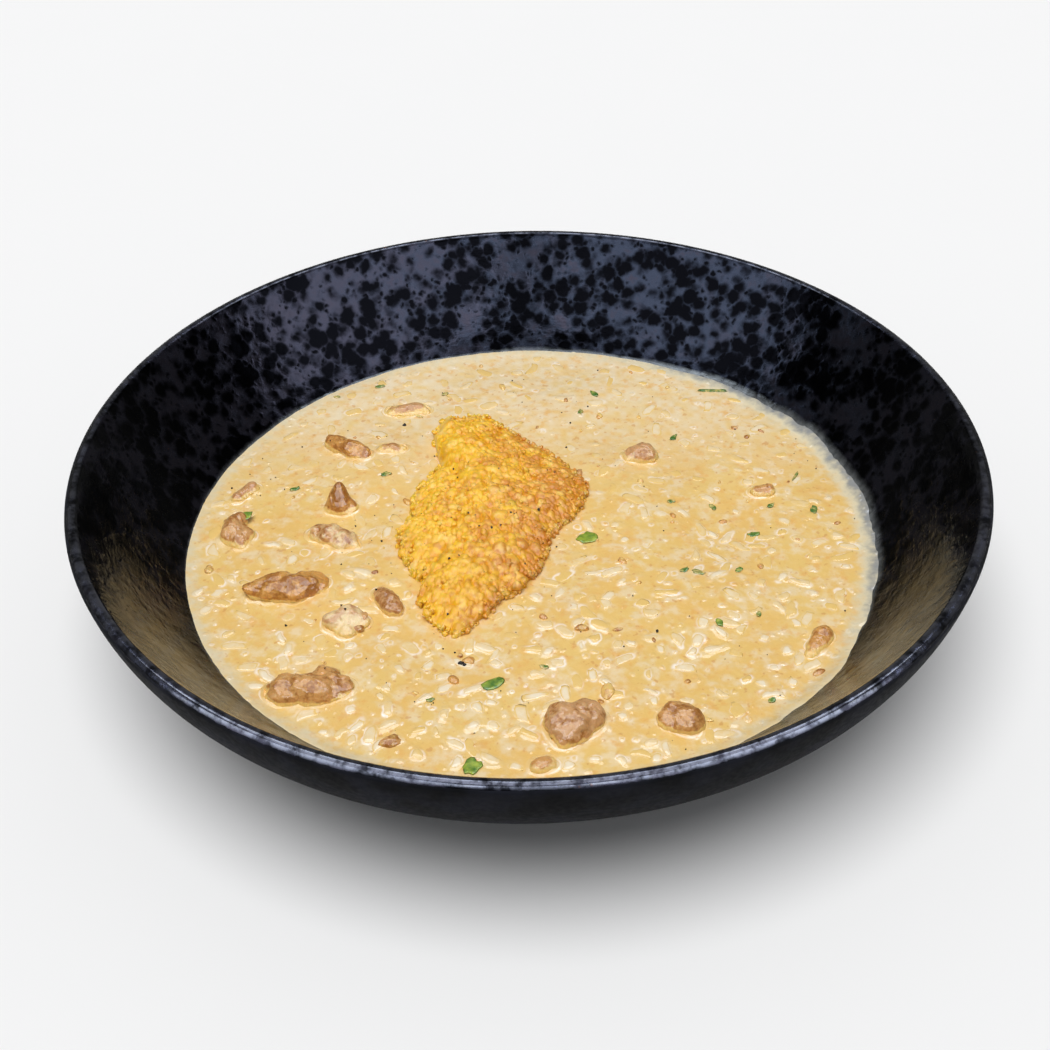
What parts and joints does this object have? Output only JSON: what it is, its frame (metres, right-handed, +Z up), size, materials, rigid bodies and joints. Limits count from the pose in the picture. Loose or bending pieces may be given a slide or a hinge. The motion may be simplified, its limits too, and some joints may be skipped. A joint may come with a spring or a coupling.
{
  "type": "risotto in a bowl",
  "caption": "Wide black stoneware bowl on a low foot ring, filled with creamy risotto, browned meat pieces, bits of green herb and a golden crumb crisp.",
  "frame": {"origin": "middle of the foot ring's underside, where the bowl stands", "axes": "+Z up, -Y towards the viewer of the picture, +X to the viewer's right"},
  "size_m": [0.26, 0.26, 0.0599],
  "materials": {
    "glazed_stoneware": "glossy blue-black glaze over dark stoneware",
    "risotto": null,
    "browned_meat": null,
    "golden_crumb": null
  },
  "bodies": {
    "root": {"bowl": "glazed_stoneware", "risotto": "risotto", "crisp": "golden_crumb", "meat_01": "browned_meat", "meat_02": "browned_meat", "meat_03": "browned_meat", "meat_04": "browned_meat", "meat_05": "browned_meat", "meat_06": "browned_meat", "meat_07": "browned_meat", "meat_08": "browned_meat", "meat_09": "browned_meat", "meat_10": "browned_meat", "meat_11": "browned_meat", "meat_12": "browned_meat", "meat_13": "browned_meat", "meat_14": "browned_meat", "meat_15": "browned_meat", "meat_16": "browned_meat", "meat_17": "browned_meat"}
  },
  "joints": []
}
